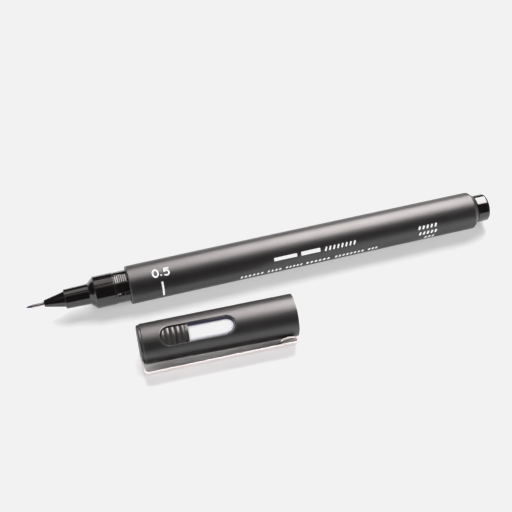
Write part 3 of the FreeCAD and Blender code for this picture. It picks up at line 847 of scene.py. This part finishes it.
def filler(stations, height, floor):
    """A block that fills part of the slot. height(x, y, half) gives the top's radius and a value
    for the edge channel: scuffing on the ribs, painted shade on the pane.
    """
    top, bottom, wear_and_shade = [], [], []
    for x, half in stations:
        upper, lower, shade = [], [], []
        for k in range(FILL_COLUMNS + 1):
            y = -half * math.cos(math.pi * k / FILL_COLUMNS)
            radius, worn_and_shaded = height(x, y, half)
            upper.append((x, y, math.sqrt(radius * radius - y * y)))
            lower.append((x, y, math.sqrt(floor * floor - y * y)))
            shade.append(worn_and_shaded)
        top.append(upper)
        bottom.append(lower)
        wear_and_shade.append(shade)
    return grid_solid(top, bottom, wear_and_shade)


def rib_height(x, y, half):
    """Rounded ribs across the slot. Use has polished their crests."""
    nearest = min(range(RIB_COUNT), key=lambda k: abs(x - RIB_FIRST - k * RIB_PITCH))
    off = abs(x - RIB_FIRST - nearest * RIB_PITCH) / RIB_HALF
    rise = math.sqrt(1 - off * off) if off < 1 else 0.0
    rise = rise ** RIB_FULLNESS
    side = clamped((half - abs(y)) / (UPPER_SLOPE if y > 0 else LOWER_SLOPE))
    rise *= math.sqrt(1 - (1 - side) ** 2)
    return RIB_FLOOR + (RIB_TOP - RIB_FLOOR) * rise, rise


crown = new_object("cap_crown_body", turned(soften([
    (0.0, 0.0, 0.0),
    (0.0, CROWN_R, 0.32),
    (SHELL_FRONT, CROWN_R, 0.08),
    (SHELL_FRONT, CROWN_BOSS, 0.0),
    (CROWN_REAR, CROWN_BOSS, 0.1),
    (CROWN_REAR, CROWN_BORE, 0.08),
    (CROWN_WALL, CROWN_BORE, 0.1),
    (CROWN_WALL, 0.0, 0.0),
], closed=False), closed=False), CAP)
rib_rows = fill_rows(5.57, CROWN_REAR - 0.01, True, False, 0.06)
ribs = new_object("ribs", filler(rib_rows, rib_height, 4.6), CAP, 1e-5)
combine(crown, ribs, "UNION")

# the clip's tab sits in a seat that is cut into the crown
CLIP_HALF = 2.1
SEAT_HALF = CLIP_HALF + 0.12
seat_outline = [
    (-0.45, -2.75), (2.52, -2.75), (2.52, -3.65), (0.45, -3.65), (0.45, -6.2), (-0.45, -6.2),
]
seat_points = [(x, y, z) for z in (-SEAT_HALF, SEAT_HALF) for x, y in seat_outline]
seat_count = len(seat_outline)
seat_faces = [tuple(range(seat_count)), tuple(range(2 * seat_count - 1, seat_count - 1, -1))]
seat_faces += [(k, (k + 1) % seat_count, seat_count + (k + 1) % seat_count, seat_count + k)
               for k in range(seat_count)]
seat = new_object("seat", (seat_points, [0.0] * len(seat_points), seat_faces), CAP)
combine(crown, seat, "DIFFERENCE")
finish_piece(crown, "cap", crown_plastic, ["cap_crown"])

LINER_FRONT = 7.5
LINER_NOSE_R = 2.9
LINER_SHOULDER = 13.2
LINER_R = 4.74
LINER_REAR = 35.0
LINER_WALL = 0.8
LINER_SEAL_BORE = 4.52
LINER_NECK_BORE = 3.3
LINER_NOSE_BORE = 2.3
liner = new_object("inner_cap_liner", turned(soften([
    (LINER_FRONT, 0.0, 0.0),
    (LINER_FRONT, LINER_NOSE_R, 0.35),
    (LINER_SHOULDER, LINER_NOSE_R, 0.15),
    (LINER_SHOULDER, LINER_R, 0.2),
    (LINER_REAR, LINER_R, 0.1),
    (LINER_REAR, LINER_SEAL_BORE, 0.05),
    (27.6, LINER_SEAL_BORE, 0.2),
    (26.2, LINER_NECK_BORE, 0.2),
    (LINER_SHOULDER + LINER_WALL, LINER_NECK_BORE, 0.1),
    (LINER_SHOULDER + LINER_WALL, LINER_NOSE_BORE, 0.1),
    (LINER_FRONT + LINER_WALL, LINER_NOSE_BORE, 0.3),
    (LINER_FRONT + LINER_WALL, 0.0, 0.0),
], closed=False), closed=False), CAP)
finish_piece(liner, "cap", liner_white, ["inner_cap"])

LENS_FRONT = 12.97
LENS_REAR = 25.03
LENS_TOP = 4.96     # height of the pane's middle above the cap's axis
LENS_CROWN = 32.0   # the pane drops by y * y / LENS_CROWN towards its sides
LENS_UNDER_R = 4.85


def fall(distance, near, far):
    """1 up to near, 0 from far, and smooth between."""
    share = clamped((far - distance) / (far - near))
    return share * share * (3 - 2 * share)


def lens_height(x, y, half):
    """The pane is flatter than the shell. Painted shade darkens it along its edges, in place of
    the slot walls' shadow and their dark sides seen through the pane: most on its upper side and
    round its rear end, and least in front."""
    upper, lower, front = half - y, half + y, x - LENS_FRONT
    rear = FILL_HALF
    if x > LENS_REAR - FILL_HALF:
        rear = FILL_HALF - math.hypot(max(0.0, x - LENS_REAR + FILL_HALF), y)
    # painted shade: darkest along the upper edge and round the rear end, lighter towards the
    # middle
    painted_shade = max(
        fall(upper, 0.8, 1.2),
        0.35 * fall(upper, 0.9, 2.5),
        0.75 * fall(lower, -0.1, 1.15),
        fall(rear, 0.15, 0.5),
        0.5 * fall(rear, 0.45, 1.25),
        0.5 * fall(front, 0.0, 0.4),
    )
    return math.hypot(LENS_TOP - y * y / LENS_CROWN, y), painted_shade


lens_rows = fill_rows(LENS_FRONT, LENS_REAR, False, True, 0.25)
lens = new_object("window_pane", filler(lens_rows, lens_height, LENS_UNDER_R), CAP, 1e-5)
finish_piece(lens, "cap", clear_plastic, ["window_lens"])

# Clip --------------------------------------------------------------------------------------------

CLIP_THICK = 0.45
CLIP_CORNER = 0.14  # rounding of the strip's four long edges
BEND_STEP = 6       # degrees between the stations of a bend
ARM_STEPS = 24
END_BEVEL = 0.06    # the strip's ends are bevelled over this length
END_SCALE = 0.6     # thickness left at a bevelled end


def clip_line():
    """The strip's centre line as (x, distance from the cap's axis)."""
    def arc(middle, radius, start, end):
        steps = max(4, math.ceil(abs(end - start) / BEND_STEP))
        return arc_line(middle, (radius, radius), start, end, steps)

    tab_bend, bend, nose, arch = 0.4, 1.1, 0.6, 4.27
    face, tab_r, root_r = 0.04, 3.2, 7.98
    nose_middle = (40.3, 6.98)
    arch_top, arch_end = 38.75, 36.4
    lean = math.degrees(math.asin((nose_middle[0] - arch_top) / (arch - nose)))
    arch_middle = (arch_top, nose_middle[1] + (arch - nose) * math.cos(math.radians(lean)))
    last = 270 - math.degrees(math.asin((arch_top - arch_end) / arch))
    line = [(2.4, tab_r)]
    line += arc((face + tab_bend, tab_r + tab_bend), tab_bend, 270, 180)
    line += arc((face + bend, root_r - bend), bend, 180, 90)
    line += arc(nose_middle, nose, 90, -90 + lean)
    line += arc(arch_middle, arch, 270 + lean, last)[1:]
    return line


def clip_part():
    """The strip: its section, with rounded corners, carried along the centre line."""
    line = [Vector(p) for p in clip_line()]
    # extra stations on the arm keep its shading even
    arm = max(range(len(line) - 1), key=lambda k: (line[k + 1] - line[k]).length)
    line[arm + 1:arm + 1] = [line[arm].lerp(line[arm + 1], k / ARM_STEPS)
                             for k in range(1, ARM_STEPS)]
    section = []
    for across, up, start in ((1, 1, 0), (-1, 1, 90), (-1, -1, 180), (1, -1, 270)):
        for step in range(5):
            angle = math.radians(start + 22.5 * step)
            section.append((
                across * (CLIP_HALF - CLIP_CORNER) + CLIP_CORNER * math.cos(angle),
                up * (CLIP_THICK / 2 - CLIP_CORNER) + CLIP_CORNER * math.sin(angle),
                1.0,
            ))
        if across == up:
            section += [(-across * share * CLIP_HALF, up * CLIP_THICK / 2, 0.0)
                        for share in (-0.9, 0.0, 0.9)]
    size = len(section)
    points, wear_and_shade, faces = [], [], []

    def add_ring(here, normal, scale):
        for across, up, worn_and_shaded in section:
            spot = here + normal * up * scale
            inward = (1 - scale) * CLIP_THICK / 2 * across / CLIP_HALF
            points.append((spot.x, -spot.y, across - inward))
            wear_and_shade.append(worn_and_shaded)

    count = len(line)
    for index, here in enumerate(line):
        before = line[max(index - 1, 0)]
        after = line[min(index + 1, count - 1)]
        along = (after - before).normalized()
        normal = Vector((-along.y, along.x))
        if index == 0:
            add_ring(here, normal, END_SCALE)
            add_ring(here + along * END_BEVEL, normal, 1.0)
        elif index == count - 1:
            add_ring(here - along * END_BEVEL, normal, 1.0)
            add_ring(here, normal, END_SCALE)
        else:
            add_ring(here, normal, 1.0)
    rings = len(points) // size
    for start in range(0, (rings - 1) * size, size):
        for k in range(size):
            after = (k + 1) % size
            faces.append((start + k, start + after, start + size + after, start + size + k))
    faces.append(tuple(range(size)))
    faces.append(tuple((rings - 1) * size + k for k in reversed(range(size))))
    return points, wear_and_shade, faces


clip = new_object("clip_strip", clip_part(), CAP, 1e-5)
finish_piece(clip, "clip", clip_steel, ["clip"])

# Hidden CAD pieces keep their shapes -------------------------------------------------------------

hidden = (("feed_wick", wick_fibre), ("ink_reservoir", reservoir_fibre), ("reservoir_film", film))
for node, material in hidden:
    thing = frame["nodes"][node]
    thing.data.materials.clear()
    thing.data.materials.append(material)

# Stage -------------------------------------------------------------------------------------------

scene = bpy.context.scene
scene.view_settings.view_transform = "Standard"
scene.view_settings.use_curve_mapping = True
WHITE = 0.887       # the floor is lit past this level and stays flat
curves = scene.view_settings.curve_mapping
curves.extend = "HORIZONTAL"
curve = curves.curves[3]
curve.points[1].location = (1.0, WHITE)
curve.points.new(WHITE, WHITE)
for point in curve.points:
    point.handle_type = "VECTOR"
curves.update()

floor_mesh = bpy.data.meshes.new("floor")
FLOOR_RADIUS = 0.9
FLOOR_SIDES = 96
corners = [math.tau * k / FLOOR_SIDES for k in range(FLOOR_SIDES)]
floor_rim = [(FLOOR_RADIUS * math.cos(a), FLOOR_RADIUS * math.sin(a), 0) for a in corners]
floor_mesh.from_pydata(floor_rim, [], [tuple(range(FLOOR_SIDES))])
floor = bpy.data.objects.new("floor", floor_mesh)
scene.collection.objects.link(floor)
paper = bpy.data.materials.new("floor_paper")
paper.use_nodes = True
paper_shader = paper.node_tree.nodes["Principled BSDF"]
paper_shader.inputs["Base Color"].default_value = (0.88, 0.88, 0.88, 1.0)
paper_shader.inputs["Roughness"].default_value = 0.9
paper_shader.inputs["Specular IOR Level"].default_value = 0.1
floor_mesh.materials.append(paper)

MIDDLE = Vector((0.0, 0.005, 0.005))


def panel(name, ahead, elevation, distance, width, height, power, colour, diffuse):
    """A rectangular lamp that faces the middle, its width along X. Its elevation runs from the
    viewer's side over the top, and ahead moves it along X. It lights either matt surfaces or
    glossy ones."""
    angle = math.radians(elevation)
    way = Vector((ahead, -math.cos(angle), math.sin(angle))).normalized()
    side = Vector((1.0, 0.0, 0.0))
    side = (side - side.dot(way) * way).normalized()
    lamp = bpy.data.lights.new(name, "AREA")
    lamp.shape = "RECTANGLE"
    lamp.size = width
    lamp.size_y = height
    lamp.energy = power
    lamp.color = colour
    thing = bpy.data.objects.new(name, lamp)
    place = Matrix((side, way.cross(side), way)).transposed().to_4x4()
    place.translation = MIDDLE + distance * way
    thing.matrix_world = place
    thing.visible_camera = False
    thing.visible_diffuse = diffuse
    thing.visible_glossy = not diffuse
    scene.collection.objects.link(thing)
    return thing


# The low fills pass the cap, so the floor between pen and cap stays as light as in front of them.
passed = bpy.data.collections.new("passed_by_fills")
for thing in (shell, crown, liner, lens):
    passed.objects.link(thing)
for entry in passed.collection_objects:
    entry.light_linking.link_state = "EXCLUDE"

NEUTRAL = (1.0, 1.0, 1.0)
WARM = (1.0, 0.935, 0.93)
WARMER = (1.0, 0.9, 0.9)
FILL_DISTANCE = 2.0
GLOSSY_DISTANCE = 0.62
panel("key", 0.15, 126, 1.6, 1.4, 1.5, 33.5, NEUTRAL, True)
for name, ahead, elevation, width, height, power in (
        ("front_fill", 0.1, 30, 2.2, 0.7, 22.0),
        ("left_fill", -2.1, 38, 1.2, 0.6, 28.0),
        ("right_fill", 2.1, 38, 1.2, 0.6, 28.0)):
    fill = panel(name, ahead, elevation, FILL_DISTANCE, width, height, power, NEUTRAL, True)
    fill.light_linking.blocker_collection = passed
panel("softbox", 0.37, 116, GLOSSY_DISTANCE, 0.34, 0.7, 9.6, WARM, False)
panel("side_panel", -0.16, 119, GLOSSY_DISTANCE, 0.2, 0.4, 0.4, WARMER, False)
panel("strip_panel", -0.1, 82, GLOSSY_DISTANCE, 0.5, 0.13, 0.13, WARMER, False)

world = bpy.data.worlds.new("studio")
world.use_nodes = True
scene.world = world
tree = world.node_tree
rays = tree.nodes.new("ShaderNodeLightPath")
backdrop = tree.nodes["Background"]
backdrop.inputs["Color"].default_value = (1.0, 1.0, 1.0, 1.0)
backdrop.inputs["Strength"].default_value = 1.0
shown = backdrop.outputs["Background"]
# matt and glossy surfaces see much dimmer surroundings than the white backdrop
for ray, strength, colour in (
        ("Is Diffuse Ray", 0.06, (1.0, 0.985, 1.0)),
        ("Is Glossy Ray", 0.03, (1.0, 0.98, 0.99))):
    dim = tree.nodes.new("ShaderNodeBackground")
    dim.inputs["Color"].default_value = (*colour, 1.0)
    dim.inputs["Strength"].default_value = strength
    choice = tree.nodes.new("ShaderNodeMixShader")
    link(tree, rays.outputs[ray], choice.inputs["Fac"])
    link(tree, shown, choice.inputs[1])
    link(tree, dim.outputs["Background"], choice.inputs[2])
    shown = choice.outputs["Shader"]
link(tree, shown, tree.nodes["World Output"].inputs["Surface"])

# Camera ------------------------------------------------------------------------------------------

CAMERA_PLACE = (-0.06035, -0.18185, 0.23114)
CAMERA_RIGHT = (0.95893, -0.28365, 0.0003)
CAMERA_UP = (0.2106, 0.7127, 0.6691)
camera_data = bpy.data.cameras.new("camera")
camera_data.sensor_width = 36.0
camera_data.lens = 76.56
camera_data.clip_start = 0.01
camera_data.clip_end = 20.0
camera = bpy.data.objects.new("camera", camera_data)
right = Vector(CAMERA_RIGHT)
back = right.cross(Vector(CAMERA_UP)).normalized()
up = back.cross(right).normalized()
view = Matrix((right.normalized(), up, back)).transposed().to_4x4()
view.translation = CAMERA_PLACE
camera.matrix_world = view
scene.collection.objects.link(camera)
scene.camera = camera
